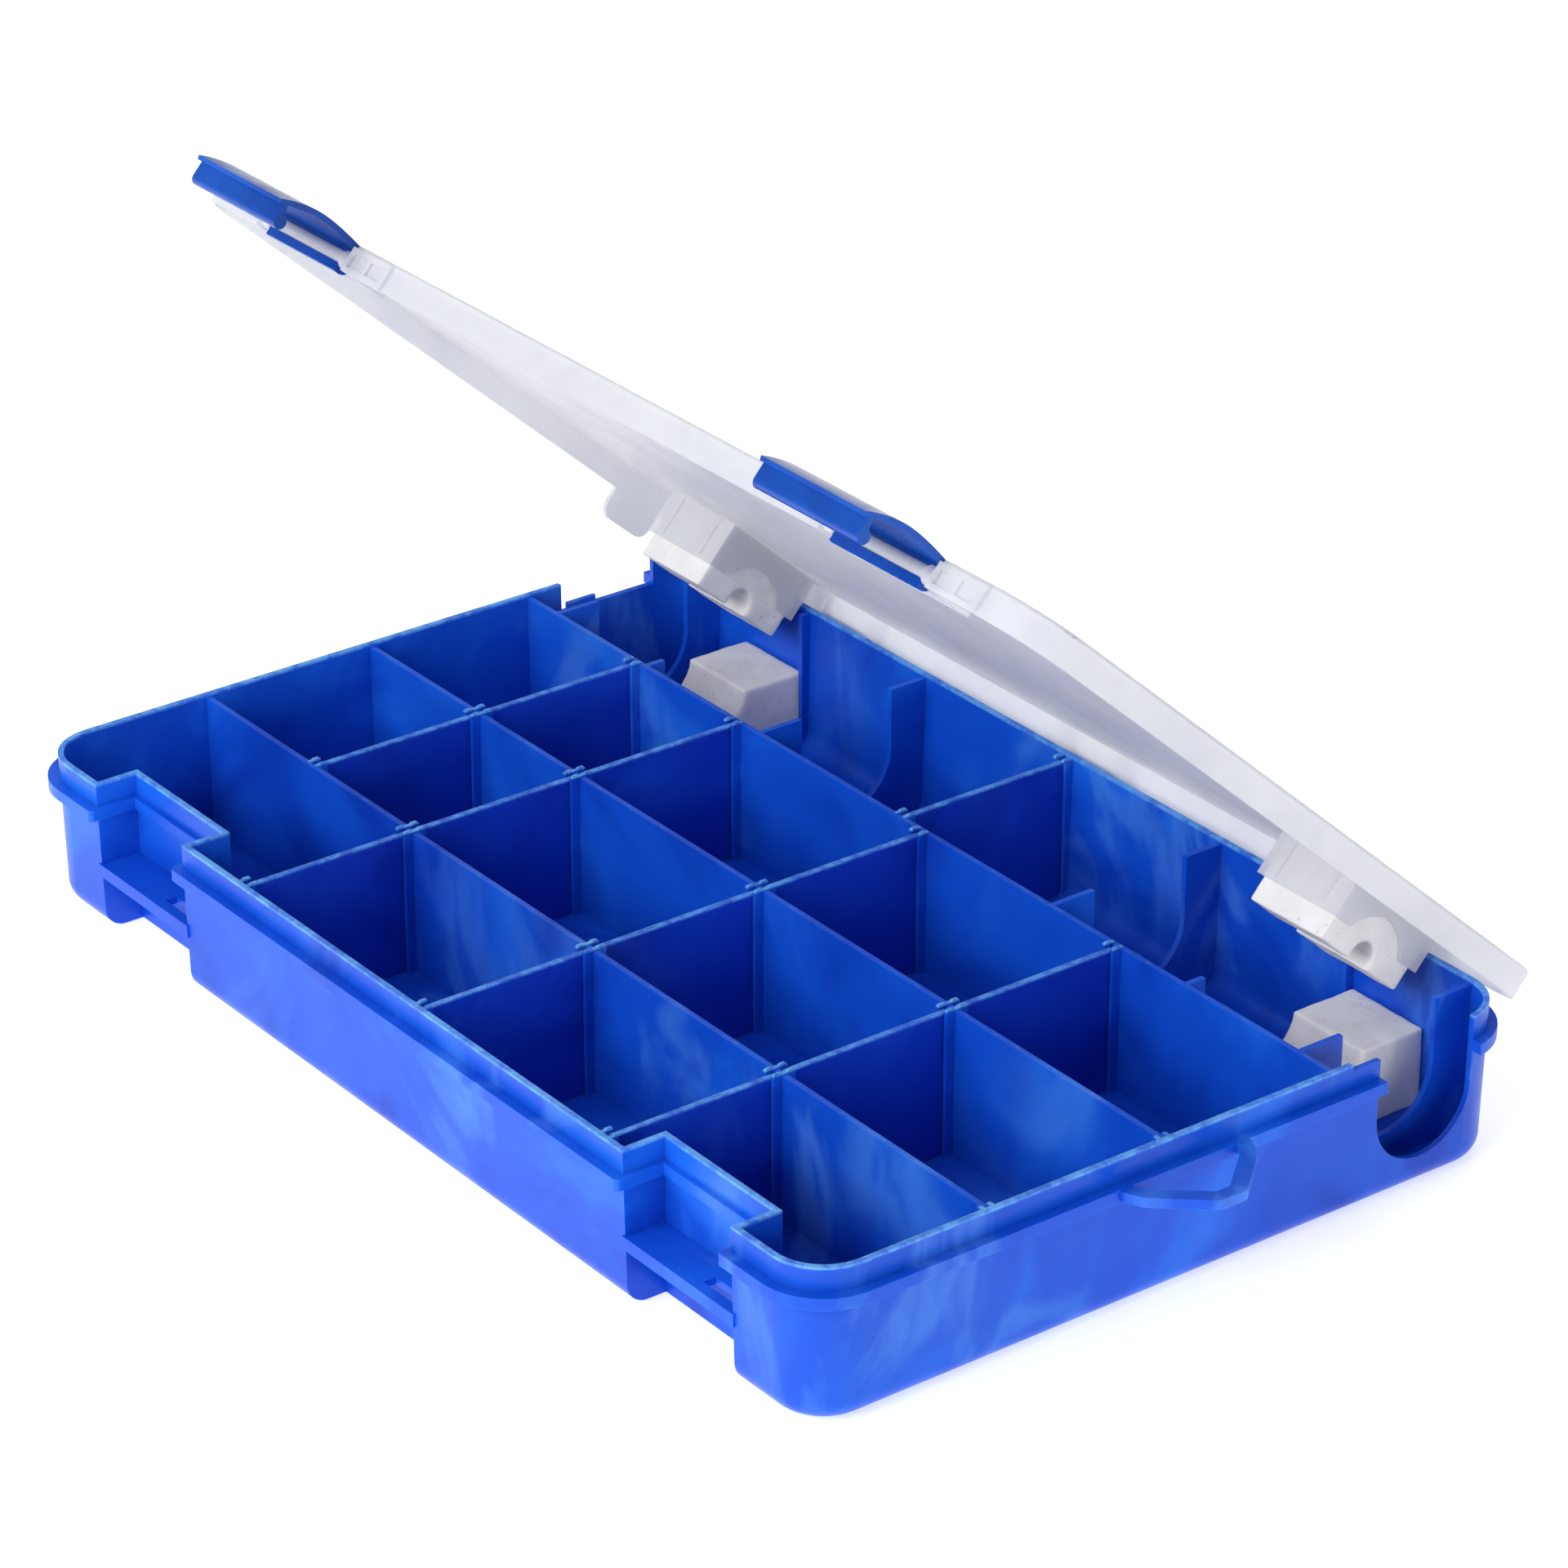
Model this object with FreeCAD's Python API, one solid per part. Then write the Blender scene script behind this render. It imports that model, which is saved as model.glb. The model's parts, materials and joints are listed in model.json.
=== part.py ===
import FreeCAD, Part
import math
import os

os.makedirs("parts", exist_ok=True)

# Fishing tackle box: a blue tray with loose dividers, a clear lid and two latches.
# X runs along the box, Y from the latch side to the hinge side, Z up from the base.
# The origin is the middle of the tray's base. The lid is drawn shut, then swung open.

# Tray
tray_length = 340.0
tray_width = 216.5
tray_height = 43.0
tray_corner_radius = 15.0
tray_draft = 1.0
bottom_edge_radius = 6.0
wall_thickness = 1.5
floor_thickness = 1.6

# Flange round the tray that the lid's skirt comes down to
flange_reach = 3.0
flange_back_reach = 2.0
flange_drop = 6.4
flange_thickness = 3.2
flange_recess_reach = 1.5
flange_nose_radius = 1.4

# Latch recesses in the front wall, and the hooking shelf in each
recess_width = 42.5
recess_depth = 12.2
recess_end_distance = 51.5
shelf_thickness = 2.0
shelf_lip_thickness = 1.4
shelf_lip_height = 3.5
shelf_slot_length = 11.0
shelf_slot_width = 3.4
shelf_slot_inset = 4.0
shelf_slot_setback = 3.2
recess_tab_length = 6.5
recess_tab_reach = 3.6
recess_tab_thickness = 2.0
recess_tab_radius = 1.4

# Long walls moulded in the tray, and the rod bay behind them
inner_wall_thickness = 1.6
inner_wall_drop = 0.9
rod_bay_depth = 57.2

# Ribs that hold the ends of the dividers
guide_thickness = 1.1
guide_reach = 2.2
guide_drop = 0.4

# Dividers
divider_thickness = 1.6
divider_clearance = 0.3
divider_drop = 1.3
divider_corner_radius = 1.0
divider_first_cell = 51.5
divider_recess_gap_left = 26.75
divider_recess_gap_right = 9.25
divider_middle_offset = 10.0

# Rod line, the U ribs, the round opening at the right end and the notch at the left end
rod_line_from_back = 28.75
rod_u_radius = 15.3
rod_u_bottom = 9.0
u_rib_thickness = 1.6
u_rib_end_distance = 14.5
u_rib_middle_offset = 61.5
u_rib_drop = 1.0
stub_rib_reach = 5.5
back_rib_reach = 3.0
stub_rib_thickness = 1.6
stub_rib_gap = 0.5
notch_width = 31.8
notch_depth = 8.4
notch_shift = -2.6
notch_bump_length = 10.0
notch_bump_height = 2.0
notch_bump_radius = 0.6
notch_bump_inset = 2.0
rim_step_length = 9.0
rim_step_depth = 1.6

# Lanyard loop on the right end
loop_half_width = 20.0
loop_shoulder_reach = 3.6
loop_side_reach = 8.6
loop_side_half_width = 17.6
loop_tip_reach = 20.4
loop_tip_half_width = 4.0
loop_band = 4.0
loop_thickness = 2.6
loop_shift = 0.2
loop_root = 1.0
loop_corner_radius = 2.0
loop_hole_corner_radius = 0.8

# Lid
lid_overhang = 2.6
lid_thickness = 1.5
lid_skirt_thickness = 1.4
lid_corner_radius = 17.0
lid_edge_radius = 1.0
lid_gap = 0.3
lid_open_degrees = 42.0

# Notches in the lid for the latches, with the rods the latches turn on
lid_notch_wall = 1.4
lid_notch_clearance = 0.3
rod_radius = 1.85
rod_outward = 1.0
rod_below_top = 4.8
boss_radius = 2.5
boss_length = 3.2
pad_length = 17.0
pad_pockets = 2
pad_thickness = 1.2
pad_border = 1.6
pad_pocket_depth = 0.9

# Foam blocks and their holders in the lid
foam_length = 26.5
foam_end_distance = 42.0
tray_foam_depth = 31.0
tray_foam_height = 21.9
tray_foam_cove_radius = 9.5
lid_foam_depth = 35.0
lid_foam_back_distance = 9.5
lid_foam_groove_radius = 4.0
lid_foam_groove_shift = 1.5
lid_foam_groove_lift = 2.2
foam_gap = 0.3
foam_foot_clearance = 0.5
holder_wall = 1.2
holder_depth = 12.8
holder_arch_radius = 13.4
holder_rib_width = 0.8
holder_rib_height = 0.5
holder_rib_spacing = 17.0

# Tab on the lid's left end that covers the notch
tab_length = 19.0
tab_drop = 8.4
tab_thickness = 1.5
tab_radius = 4.0

# Hinge
hinge_behind_tray = 6.0
hinge_below_flange = 1.6
hinge_barrel_radius = 3.3
hinge_peg_radius = 1.5
hinge_running_clearance = 0.05
hinge_tray_knuckle_length = 16.0
hinge_lid_knuckle_length = 8.0
hinge_side_gap = 0.4
hinge_peg_length = 5.0
hinge_end_distance = 62.0
hinge_arm_top = 8.8
hinge_arm_gap = 0.2

# Latches
latch_side_clearance = 0.35
latch_thickness = 1.6
latch_clip_radius = 4.0
latch_bore_clearance = 0.05
latch_lip_drop = 1.55
latch_lip_reach = 1.2
latch_hook_reach = 26.2
latch_hook_drop = 2.0
latch_bead_radius = 1.9
latch_web_thickness = 1.2
latch_web_top = 2.6
latch_hook_gap = 0.4

# The latch blade's outer face, as distances out from its rod and up from it
latch_blade = ((-4.0, 3.6), (2.4, 4.9), (9.0, 5.7), (17.4, 5.9), (24.9, 4.6), (30.0, 2.9))
latch_tip_taper = 0.5

# How far a cutting shape runs past what it cuts, and how near two places count as one
overrun = 1.0
hair = 0.01


def box(x0, x1, y0, y1, z0, z1):
    return Part.makeBox(x1 - x0, y1 - y0, z1 - z0, FreeCAD.Vector(x0, y0, z0))


def rod(x0, x1, y, z, radius):
    return Part.makeCylinder(radius, x1 - x0, FreeCAD.Vector(x0, y, z), FreeCAD.Vector(1, 0, 0))


def rounded_wire(x0, x1, y0, y1, z, radius):
    """A closed rectangle with rounded corners in a level plane."""
    arc_points = []
    centres = [
        (x1 - radius, y0 + radius, -90.0),
        (x1 - radius, y1 - radius, 0.0),
        (x0 + radius, y1 - radius, 90.0),
        (x0 + radius, y0 + radius, 180.0),
    ]
    for cx, cy, start in centres:
        points = []
        for angle in (start, start + 45.0, start + 90.0):
            turn = math.radians(angle)
            points.append(FreeCAD.Vector(cx + radius * math.cos(turn), cy + radius * math.sin(turn), z))
        arc_points.append(points)
    edges = []
    for index, points in enumerate(arc_points):
        edges.append(Part.Arc(points[0], points[1], points[2]).toShape())
        following = arc_points[(index + 1) % 4]
        edges.append(Part.LineSegment(points[2], following[0]).toShape())
    return Part.Wire(edges)


def rounded_block(x0, x1, y0, y1, z0, z1, radius):
    face = Part.Face(rounded_wire(x0, x1, y0, y1, z0, radius))
    return face.extrude(FreeCAD.Vector(0, 0, z1 - z0))


def drafted_block(x0, x1, y0, y1, z0, z1, radius, inset, edge_radius):
    """A block that narrows to its foot, with the foot's edges rounded."""
    foot = rounded_wire(x0 + inset, x1 - inset, y0 + inset, y1 - inset, z0, radius - inset)
    head = rounded_wire(x0, x1, y0, y1, z1, radius)
    block = Part.makeLoft([foot, head], True, True)
    foot_edges = []
    for edge in block.Edges:
        if edge.BoundBox.ZMax < z0 + hair:
            foot_edges.append(edge)
    return block.makeFillet(edge_radius, foot_edges)


def prism_along_x(points, x0, x1):
    """A prism along X from points given as (y, z)."""
    corners = [FreeCAD.Vector(x0, y, z) for y, z in points]
    corners.append(corners[0])
    return Part.Face(Part.makePolygon(corners)).extrude(FreeCAD.Vector(x1 - x0, 0, 0))


def prism_up(points, z0, z1):
    """A prism along Z from points given as (x, y)."""
    corners = [FreeCAD.Vector(x, y, z0) for x, y in points]
    corners.append(corners[0])
    return Part.Face(Part.makePolygon(corners)).extrude(FreeCAD.Vector(0, 0, z1 - z0))


def u_cutter(x0, x1, y, z_bottom, radius, z_top):
    """The space a rod drops into: round at the bottom, straight and open above."""
    centre_z = z_bottom + radius
    space = box(x0, x1, y - radius, y + radius, centre_z, z_top)
    return space.fuse(rod(x0, x1, y, centre_z, radius))


def round_edges(shape, radius, chosen):
    edges = [edge for edge in shape.Edges if chosen(edge)]
    return shape.makeFillet(radius, edges)


def is_upright(edge):
    return edge.BoundBox.XLength < hair and edge.BoundBox.YLength < hair


def export(shape, node):
    shape.exportStep("parts/" + node + ".step")


# Levels and lines that several pieces share
x_end = tray_length / 2.0
y_front = -tray_width / 2.0
y_back = tray_width / 2.0
rim_z = tray_height
flange_top = rim_z - flange_drop
flange_bottom = flange_top - flange_thickness
inner_x = x_end - wall_thickness
inner_front = y_front + wall_thickness
inner_back = y_back - wall_thickness
inner_floor_radius = bottom_edge_radius - wall_thickness
far = tray_length + tray_width
recess_centres = (-(x_end - recess_end_distance), x_end - recess_end_distance)
recess_back = y_front + recess_depth
wall_c_y = y_back - rod_bay_depth - inner_wall_thickness / 2.0
row_pitch = (wall_c_y - y_front) / 3.0
wall_a_y = y_front + row_pitch
wall_b_y = wall_a_y + row_pitch
inner_wall_top = rim_z - inner_wall_drop
rod_line_y = y_back - rod_line_from_back
lid_plate_bottom = rim_z + lid_gap
lid_top = lid_plate_bottom + lid_thickness
skirt_bottom = flange_top + lid_gap
latch_rod_y = y_front - rod_outward
latch_rod_z = lid_top - rod_below_top
hinge_y = y_back + hinge_behind_tray
hinge_z = flange_top - hinge_below_flange
foam_centres = (-(x_end - foam_end_distance), x_end - foam_end_distance)
lid_foam_back = y_back - lid_foam_back_distance
lid_foam_front = lid_foam_back - lid_foam_depth
lid_foam_bottom = floor_thickness + tray_foam_height + foam_gap
hook_level = latch_rod_z - latch_hook_reach + latch_bead_radius
shelf_lip_bottom = hook_level + latch_hook_gap
shelf_top = shelf_lip_bottom + shelf_lip_height

# Where the dividers stand
recess_inner_edge = x_end - recess_end_distance - recess_width / 2.0
divider_d_x = -inner_x + divider_first_cell
divider_e_x = -recess_inner_edge + divider_recess_gap_left
divider_f_x = divider_middle_offset
divider_g_x = recess_inner_edge - divider_recess_gap_right
half_divider = divider_thickness / 2.0
half_wall = inner_wall_thickness / 2.0
row_front = (inner_front, wall_a_y - half_wall)
row_middle = (wall_a_y + half_wall, wall_b_y - half_wall)
row_rear = (wall_b_y + half_wall, wall_c_y - half_wall)
row_rod = (wall_c_y + half_wall, inner_back)
front_xs = (divider_e_x, divider_f_x, divider_g_x)
row_xs = (divider_d_x, divider_e_x, divider_f_x, divider_g_x)
rod_bay_xs = (0.0,)


def recess_block(centre, margin, z0, z1):
    """The space of one latch recess, grown by a margin at its sides and back."""
    half = recess_width / 2.0 + margin
    return box(centre - half, centre + half, y_front - far, recess_back + margin, z0, z1)


def guide_pair(x, y_wall, direction):
    """Two upright ribs that hold one end of a divider."""
    ribs = []
    inner = half_divider + divider_clearance
    reach = y_wall + direction * (guide_reach + divider_clearance)
    root = y_wall - direction * half_wall
    low = min(reach, root)
    high = max(reach, root)
    top = rim_z - guide_drop
    for side in (-1.0, 1.0):
        near = x + side * inner
        outer = near + side * guide_thickness
        ribs.append(box(min(near, outer), max(near, outer), low, high, floor_thickness / 2.0, top))
    return ribs


def tray_shell():
    outer = drafted_block(
        -x_end, x_end, y_front, y_back, 0.0, rim_z, tray_corner_radius, tray_draft, bottom_edge_radius
    )
    inner_radius = tray_corner_radius - wall_thickness
    hollow = drafted_block(
        -inner_x, inner_x, inner_front, inner_back, floor_thickness, rim_z + floor_thickness,
        inner_radius, tray_draft, inner_floor_radius
    )
    for centre in recess_centres:
        outer = outer.cut(recess_block(centre, 0.0, -far, far))
        hollow = hollow.cut(recess_block(centre, wall_thickness, -far, far))
    return outer, outer.cut(hollow)


def tray_flange():
    radius = tray_corner_radius + flange_reach
    ring = rounded_block(
        -x_end - flange_reach, x_end + flange_reach, y_front - flange_reach,
        y_back + flange_back_reach, flange_bottom, flange_top, radius
    )
    for centre in recess_centres:
        ring = ring.cut(recess_block(centre, -flange_recess_reach, -far, far))
    nose_y = y_front - flange_reach

    def at_nose(edge):
        return is_upright(edge) and abs(edge.BoundBox.YMin - nose_y) < hair \
            and abs(edge.BoundBox.XMin) < x_end - tray_corner_radius
    ring = round_edges(ring, flange_nose_radius, at_nose)
    core = rounded_block(
        -inner_x, inner_x, inner_front, inner_back, flange_bottom - overrun, flange_top + overrun,
        tray_corner_radius - wall_thickness
    )
    for centre in recess_centres:
        core = core.cut(recess_block(centre, wall_thickness, -far, far))
    return ring.cut(core)


def recess_parts(centre):
    """The shelf the latch hooks under, with its turned-down lip, slot and small tab."""
    half = recess_width / 2.0 + wall_thickness / 2.0
    back = recess_back + wall_thickness / 2.0
    plate = box(centre - half, centre + half, y_front, back, shelf_top - shelf_thickness, shelf_top)
    lip_back = y_front + shelf_lip_thickness
    lip = box(centre - half, centre + half, y_front, lip_back, shelf_lip_bottom, shelf_top)
    slot_end = centre + recess_width / 2.0 - shelf_slot_inset
    slot_y = y_front + shelf_slot_setback
    slot = box(
        slot_end - shelf_slot_length, slot_end, slot_y, slot_y + shelf_slot_width,
        shelf_top - shelf_thickness - overrun, shelf_top + overrun
    )
    side = centre + recess_width / 2.0
    tab_y = y_front + recess_tab_length
    tab = rounded_block(
        side - recess_tab_reach, side + wall_thickness / 2.0, y_front, tab_y,
        flange_bottom - recess_tab_thickness, flange_bottom, recess_tab_radius
    )
    return plate.fuse(lip).cut(slot), tab


def u_rib(x):
    """A cross rib of the rod bay with a U in it that a rod rests in."""
    half = u_rib_thickness / 2.0
    top = rim_z - u_rib_drop
    rib = box(x - half, x + half, wall_c_y, y_back - wall_thickness / 2.0, floor_thickness / 2.0, top)
    u_space = u_cutter(x - half - overrun, x + half + overrun, rod_line_y, rod_u_bottom, rod_u_radius, far)
    return rib.cut(u_space)


def stub_ribs():
    """Short ribs beside the foam blocks, on the last long wall and on the back wall."""
    ribs = []
    top = rim_z - u_rib_drop
    for centre in foam_centres:
        side = -1.0 if centre > 0.0 else 1.0
        x = centre + side * (foam_length / 2.0 + stub_rib_gap + stub_rib_thickness / 2.0)
        low = x - stub_rib_thickness / 2.0
        high = x + stub_rib_thickness / 2.0
        ribs.append(box(low, high, wall_c_y, row_rod[0] + stub_rib_reach, floor_thickness / 2.0, top))
        ribs.append(box(low, high, inner_back - back_rib_reach, y_back - wall_thickness / 2.0,
                        floor_thickness / 2.0, top))
    return ribs


def wall_end_ribs():
    """Small ribs each side of the first two long walls, at the right end wall."""
    ribs = []
    top = rim_z - guide_drop
    x0 = inner_x - guide_reach
    for wall_y in (wall_a_y, wall_b_y):
        for side in (-1.0, 1.0):
            near = wall_y + side * half_wall
            outer = near + side * guide_thickness
            ribs.append(box(x0, x_end - wall_thickness / 2.0, min(near, outer), max(near, outer),
                            floor_thickness / 2.0, top))
    return ribs


def lanyard_loop():
    z0 = (flange_top + flange_bottom - loop_thickness) / 2.0
    root = x_end - loop_root
    shoulder = x_end + loop_shoulder_reach
    side = x_end + loop_side_reach
    tip = x_end + loop_tip_reach

    def outline(band):
        half_width = loop_half_width - band
        side_half_width = loop_side_half_width - band
        tip_half_width = loop_tip_half_width - band / 2.0
        near = [(root, half_width), (shoulder, half_width), (side - band / 2.0, side_half_width),
                (tip - band, tip_half_width)]
        far_half = [(x, -y) for x, y in reversed(near)]
        return [(x, y + loop_shift) for x, y in near + far_half]
    ring = prism_up(outline(0.0), z0, z0 + loop_thickness)
    hole = prism_up(outline(loop_band), z0 - overrun, z0 + loop_thickness + overrun)

    def beyond_flange(edge):
        return is_upright(edge) and edge.BoundBox.XMin > x_end + flange_reach
    ring = round_edges(ring, loop_corner_radius, beyond_flange)
    return ring.cut(round_edges(hole, loop_hole_corner_radius, beyond_flange))


def hinge_centres():
    reach = x_end - hinge_end_distance
    return (-reach, 0.0, reach)


def tray_knuckle(x):
    """A barrel on the tray's back wall, with a peg at each side for the lid to turn on."""
    half = hinge_tray_knuckle_length / 2.0
    barrel = rod(x - half, x + half, hinge_y, hinge_z, hinge_barrel_radius)
    arm_low = hinge_z - hinge_barrel_radius
    arm = box(x - half, x + half, y_back - wall_thickness / 2.0, hinge_y, arm_low, hinge_z)
    reach = half + hinge_side_gap + hinge_peg_length
    pegs = rod(x - reach, x + reach, hinge_y, hinge_z, hinge_peg_radius)
    return barrel.fuse([arm, pegs])


def lid_knuckles(x):
    """Two barrels under the lid's back edge, either side of one of the tray's."""
    pieces = []
    inner = hinge_tray_knuckle_length / 2.0 + hinge_side_gap
    outer = inner + hinge_lid_knuckle_length
    bore_radius = hinge_peg_radius + hinge_running_clearance
    skirt_outer = y_back + lid_overhang
    skirt_inner = skirt_outer - lid_skirt_thickness / 2.0
    for side in (-1.0, 1.0):
        x0 = x + min(side * inner, side * outer)
        x1 = x + max(side * inner, side * outer)
        barrel = rod(x0, x1, hinge_y, hinge_z, hinge_barrel_radius)
        back = hinge_y + hinge_barrel_radius
        arm = prism_along_x(
            [(skirt_inner, skirt_bottom + hinge_arm_gap), (hinge_y, hinge_z), (back, hinge_z),
             (skirt_outer, hinge_z + hinge_arm_top), (skirt_inner, hinge_z + hinge_arm_top)], x0, x1)
        reach = inner + hinge_peg_length + hinge_side_gap
        bore_x0 = x + min(side * (inner - overrun), side * reach)
        bore_x1 = x + max(side * (inner - overrun), side * reach)
        bore = rod(bore_x0, bore_x1, hinge_y, hinge_z, bore_radius)
        pieces.append(barrel.fuse(arm).cut(bore))
    return pieces


def make_tray():
    outer, shell = tray_shell()
    inside = []
    for wall_y in (wall_a_y, wall_b_y, wall_c_y):
        inside.append(box(-x_end, x_end, wall_y - half_wall, wall_y + half_wall,
                          floor_thickness / 2.0, inner_wall_top))
    for x in front_xs:
        inside.extend(guide_pair(x, row_front[0], 1.0))
        inside.extend(guide_pair(x, row_front[1], -1.0))
    for row in (row_middle, row_rear):
        for x in row_xs:
            inside.extend(guide_pair(x, row[0], 1.0))
            inside.extend(guide_pair(x, row[1], -1.0))
    for x in rod_bay_xs:
        inside.extend(guide_pair(x, row_rod[0], 1.0))
        inside.extend(guide_pair(x, row_rod[1], -1.0))
    for side in (-1.0, 1.0):
        inside.append(u_rib(side * (x_end - u_rib_end_distance)))
        inside.append(u_rib(side * u_rib_middle_offset))
    inside.extend(stub_ribs())
    inside.extend(wall_end_ribs())
    inside = [piece.common(outer) for piece in inside]
    outside = [tray_flange(), lanyard_loop()]
    for centre in recess_centres:
        plate, tab = recess_parts(centre)
        outside.append(plate)
        outside.append(tab)
    tray = shell.fuse(inside + outside)
    end_opening = u_cutter(x_end - wall_thickness * 2.0, far, rod_line_y, rod_u_bottom, rod_u_radius, far)
    tray = tray.cut(end_opening)
    notch_y = rod_line_y + notch_shift
    notch_z = rim_z - notch_depth
    notch = box(-far, -x_end + wall_thickness * 2.0, notch_y - notch_width / 2.0,
                notch_y + notch_width / 2.0, notch_z, far)
    flange_gap = box(-far, -x_end, notch_y - notch_width / 2.0, notch_y + notch_width / 2.0,
                     flange_bottom - overrun, far)
    tray = tray.cut(notch).cut(flange_gap)
    bump_y = notch_y - notch_width / 2.0 + notch_bump_length / 2.0 + notch_bump_inset
    bump_x0 = -x_end + tray_draft * notch_depth / rim_z
    bump = rounded_block(
        bump_x0, bump_x0 + wall_thickness, bump_y - notch_bump_length / 2.0,
        bump_y + notch_bump_length / 2.0, notch_z - overrun, notch_z + notch_bump_height, notch_bump_radius
    )
    step_y = rod_line_y - rod_u_radius
    step = box(inner_x - tray_draft, far, step_y - rim_step_length, step_y + overrun,
               rim_z - rim_step_depth, far)
    tray = tray.cut(step)
    tray = tray.fuse([bump] + [tray_knuckle(x) for x in hinge_centres()])
    return tray.removeSplitter()


def make_divider(x, row, front_radius, back_radius):
    """A loose panel that drops between the guide ribs."""
    y0 = row[0] + divider_clearance
    y1 = row[1] - divider_clearance
    if row[0] == inner_front:
        y0 = y0 + tray_draft
    if row[1] == inner_back:
        y1 = y1 - tray_draft
    panel = box(x - half_divider, x + half_divider, y0, y1,
                floor_thickness + divider_clearance, rim_z - divider_drop)
    low = floor_thickness + divider_clearance

    def foot_edge(edge_y):
        def chosen(edge):
            return abs(edge.BoundBox.YMin - edge_y) < hair and abs(edge.BoundBox.YMax - edge_y) < hair \
                and abs(edge.BoundBox.ZMax - low) < hair
        return chosen

    def head_edge(edge):
        return edge.BoundBox.ZMin > rim_z - divider_drop - hair and edge.BoundBox.YLength < hair
    panel = round_edges(panel, front_radius, foot_edge(y0))
    panel = round_edges(panel, back_radius, foot_edge(y1))
    return round_edges(panel, divider_corner_radius, head_edge)


def make_tray_foam(centre):
    half = foam_length / 2.0
    back = inner_back - tray_draft
    front = back - tray_foam_depth + tray_draft
    top = floor_thickness + tray_foam_height
    block = box(centre - half, centre + half, front, back, floor_thickness, top)

    def rear_foot(edge):
        return edge.BoundBox.YMin > back - hair and edge.BoundBox.ZMax < floor_thickness + hair
    block = round_edges(block, inner_floor_radius + foam_foot_clearance, rear_foot)
    cove = rod(centre - far, centre + far, front, top, tray_foam_cove_radius)
    return block.cut(cove)


def make_lid_foam(centre):
    half = foam_length / 2.0
    block = box(centre - half, centre + half, lid_foam_front, lid_foam_back,
                lid_foam_bottom, lid_plate_bottom)
    groove_y = rod_line_y + lid_foam_groove_shift
    groove_z = lid_foam_bottom + lid_foam_groove_lift
    groove = rod(centre - far, centre + far, groove_y, groove_z, lid_foam_groove_radius)
    return block.cut(groove)


def foam_holder(centre):
    """Four thin walls round a lid foam block, with a round arch in each end wall."""
    half = foam_length / 2.0
    low = lid_plate_bottom - holder_depth
    ring = box(centre - half - holder_wall, centre + half + holder_wall, lid_foam_front - holder_wall,
               lid_foam_back + holder_wall, low, lid_plate_bottom + lid_thickness / 2.0)
    ring = ring.cut(box(centre - half, centre + half, lid_foam_front, lid_foam_back,
                        low - overrun, lid_plate_bottom))
    arch_y = rod_line_y + lid_foam_groove_shift
    ring = ring.cut(rod(centre - far, centre + far, arch_y, lid_foam_bottom, holder_arch_radius))
    ribs = []
    for side in (-1.0, 1.0):
        x = centre + side * holder_rib_spacing / 2.0
        ribs.append(box(x - holder_rib_width / 2.0, x + holder_rib_width / 2.0,
                        lid_foam_front - holder_wall - holder_rib_height,
                        lid_foam_front - holder_wall / 2.0,
                        low + holder_wall, lid_plate_bottom + lid_thickness / 2.0))
    return ring.fuse(ribs)


def lid_notch_space(centre, margin, z0, z1):
    """The space of one latch notch in the lid, out to the wall's outer face plus a margin."""
    half = recess_width / 2.0 - lid_notch_clearance - lid_notch_wall + margin
    back = recess_back - lid_notch_clearance - lid_notch_wall + margin
    return box(centre - half, centre + half, -far, back, z0, z1)


def lid_rod(centre):
    """The round rod a latch clips on, with a thicker boss at each end."""
    half = recess_width / 2.0 - lid_notch_clearance - lid_notch_wall
    buried = lid_notch_wall / 2.0
    bar = rod(centre - half - buried, centre + half + buried, latch_rod_y, latch_rod_z, rod_radius)
    pieces = [bar]
    for side in (-1.0, 1.0):
        outer = centre + side * (half + buried)
        inner = centre + side * (half - boss_length)
        pieces.append(rod(min(outer, inner), max(outer, inner), latch_rod_y, latch_rod_z, boss_radius))
    return pieces


def front_pads(centre):
    """Thickened blocks on the skirt at each side of a latch notch, with shallow pockets."""
    pads = []
    half = recess_width / 2.0 - lid_notch_clearance - lid_notch_wall
    skirt_face = y_front - lid_overhang
    face = skirt_face - pad_thickness
    pad_top = lid_top - lid_edge_radius
    pitch = (pad_length - pad_border) / pad_pockets
    for side in (-1.0, 1.0):
        near = centre + side * half
        outer = near + side * pad_length
        pad = box(min(near, outer), max(near, outer), face, skirt_face + lid_skirt_thickness / 2.0,
                  skirt_bottom, pad_top)
        for index in range(pad_pockets):
            start = near + side * (pad_border + index * pitch)
            end = near + side * (index + 1) * pitch
            pad = pad.cut(box(min(start, end), max(start, end), face - overrun, face + pad_pocket_depth,
                              skirt_bottom + pad_border, pad_top - pad_border))
        pads.append(pad)
    return pads


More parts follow.
